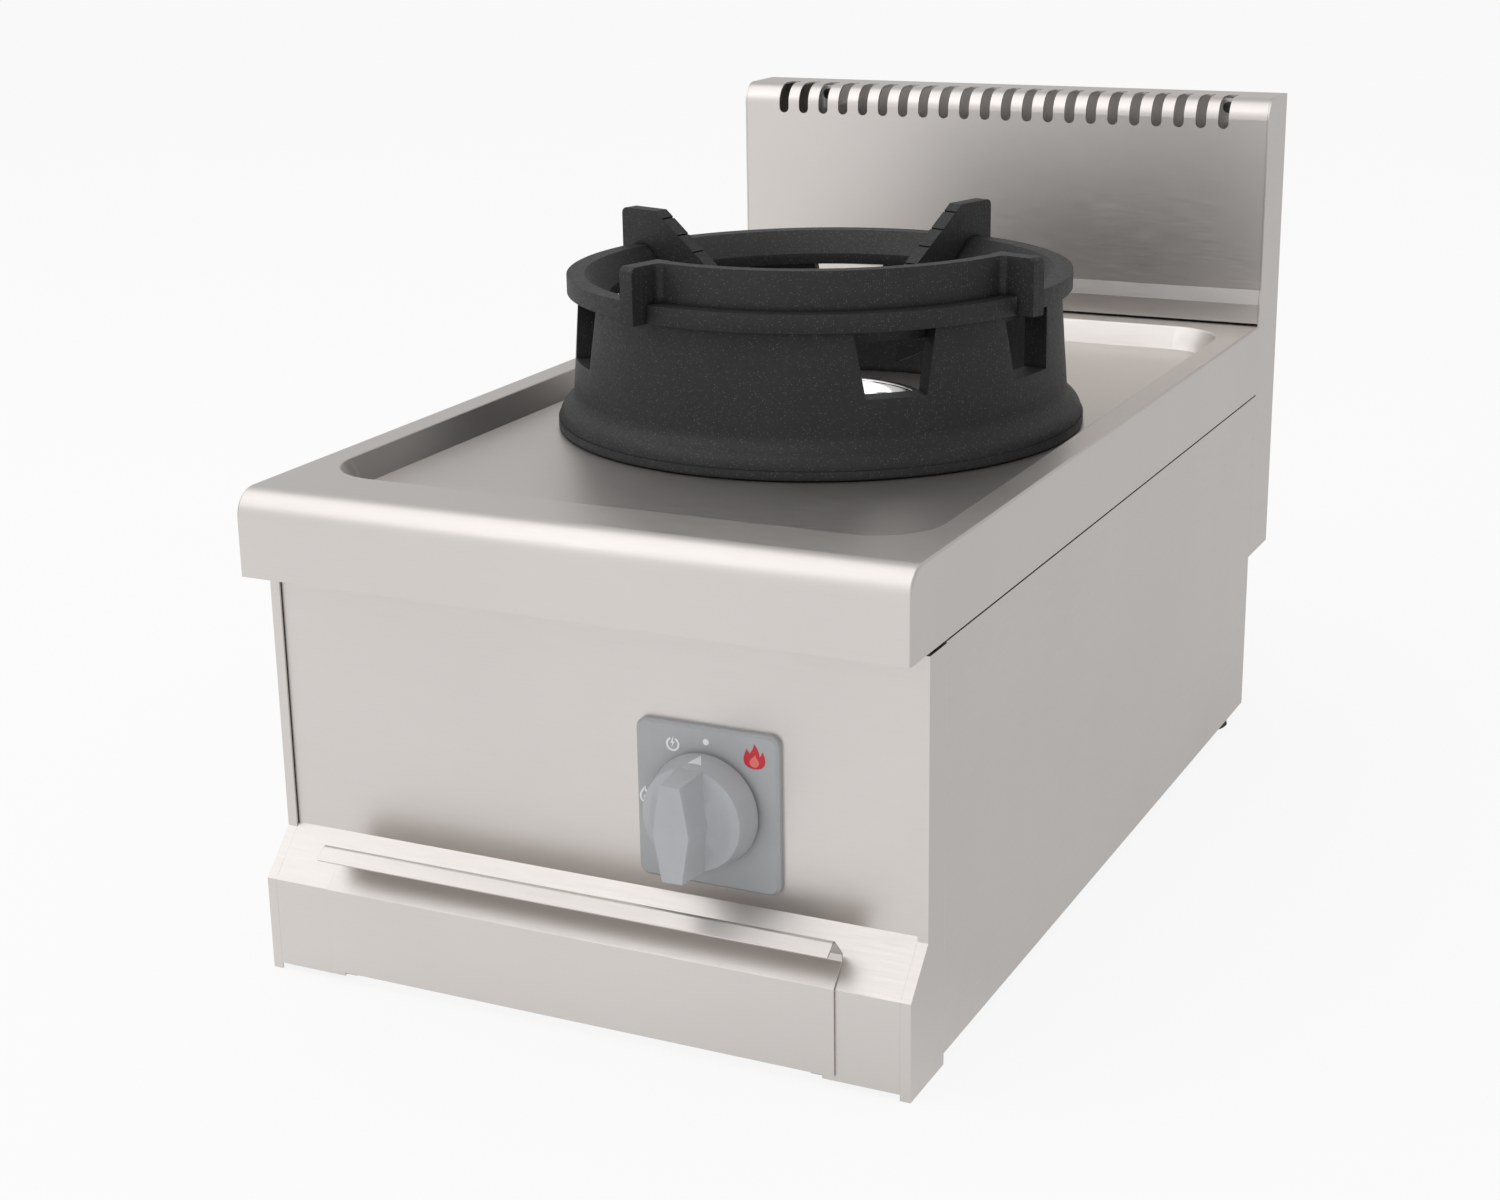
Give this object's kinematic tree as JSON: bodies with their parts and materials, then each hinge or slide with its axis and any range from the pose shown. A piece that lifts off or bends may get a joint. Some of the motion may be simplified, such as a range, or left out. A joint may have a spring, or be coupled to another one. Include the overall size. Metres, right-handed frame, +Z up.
{
  "type": "wok range",
  "caption": "Countertop gas wok range: a deep stainless body with a recessed worktop, slotted flue riser, cast wok ring with pan fingers, one rotary gas knob and a pull-out drip tray.",
  "frame": {"origin": "bottom centre of the bounding box, on the resting plane", "axes": "+Z up, +Y from the knob side to the riser, +X to the right seen from the front"},
  "size_m": [0.4, 0.7196, 0.4445],
  "materials": {
    "stainless": "satin brushed stainless steel sheet",
    "zinc_steel": "zinc coated, dull",
    "cast_iron": "matte black enamel with fine specks",
    "burner_iron": "bare casting, heat darkened",
    "brass": "turned",
    "valve_alloy": "die cast",
    "copper_tube": "drawn tube",
    "gas_pipe": "zinc plated steel pipe",
    "screw_steel": "plated",
    "dark_screw": "heat darkened",
    "rubber": "matte",
    "plate_grey": "satin grey",
    "knob_grey": "satin grey",
    "black_plastic": "moulded",
    "ceramic": "glazed white",
    "lead_sleeve": "silicone sleeve"
  },
  "bodies": {
    "carcass": {"worktop": "stainless", "front_rail": "zinc_steel", "rear_rail": "zinc_steel", "fascia": "stainless", "pillar_right": "stainless", "pillar_left": "stainless", "side_panel_right": "stainless", "side_panel_left": "stainless", "rear_panel": "zinc_steel", "rear_feet": "rubber", "riser_shell": "stainless", "riser_cheek_right": "stainless", "riser_cheek_left": "stainless", "riser_back": "stainless", "duct_floor": "zinc_steel", "riser_clips": "stainless", "riser_screws": "dark_screw", "panel_screws": "screw_steel", "burner_bowl": "stainless", "burner_body": "burner_iron", "mixing_tube": "burner_iron", "injector_holder": "brass", "injector": "brass", "burner_bracket": "zinc_steel", "burner_bolts": "screw_steel", "pilot_bracket": "zinc_steel", "pilot_burner": "brass", "pilot_tube": "copper_tube", "thermocouple": "copper_tube", "thermocouple_lead": "copper_tube", "spark_electrode": "ceramic", "ignition_lead": "lead_sleeve", "piezo_igniter": "black_plastic", "gas_valve": "valve_alloy", "valve_magnet": "brass", "valve_screws": "screw_steel", "supply_pipe": "gas_pipe", "burner_pipe": "gas_pipe", "gas_inlet": "brass", "knob_plate": "plate_grey", "tray_runner_right": "zinc_steel", "tray_runner_left": "zinc_steel"},
    "plug": {"valve_plug": "brass"},
    "knob": {"knob": "knob_grey", "valve_stem": "screw_steel"},
    "tray": {"drip_tray": "stainless", "tray_front": "stainless"},
    "ring": {"wok_ring": "cast_iron"},
    "cap": {"burner_cap": "burner_iron"},
    "shutter": {"air_shutter": "zinc_steel"}
  },
  "joints": [
    {"name": "knob_turn", "type": "hinge", "parent": "carcass", "child": "plug", "pos_m": [0.075, -0.29615, 0.1365], "axis": [0, -1, 0], "range_deg": [0, 135]},
    {"name": "knob_push", "type": "slide", "parent": "plug", "child": "knob", "axis": [0, 1, 0], "range_m": [0, 0.003], "stiffness_N_per_m": 600, "springref_m": -0.005},
    {"name": "tray_slide", "type": "slide", "parent": "carcass", "child": "tray", "axis": [0, -1, 0], "range_m": [0, 0.38]},
    {"name": "ring_lift", "type": "slide", "parent": "carcass", "child": "ring", "axis": [0, 0, 1], "range_m": [0, 0.12]},
    {"name": "cap_lift", "type": "slide", "parent": "carcass", "child": "cap", "axis": [0, 0, 1], "range_m": [0, 0.15]},
    {"name": "shutter_turn", "type": "hinge", "parent": "carcass", "child": "shutter", "pos_m": [0, -0.16485, 0.2135], "axis": [0, -1, 0], "range_deg": [0, 45]}
  ]
}
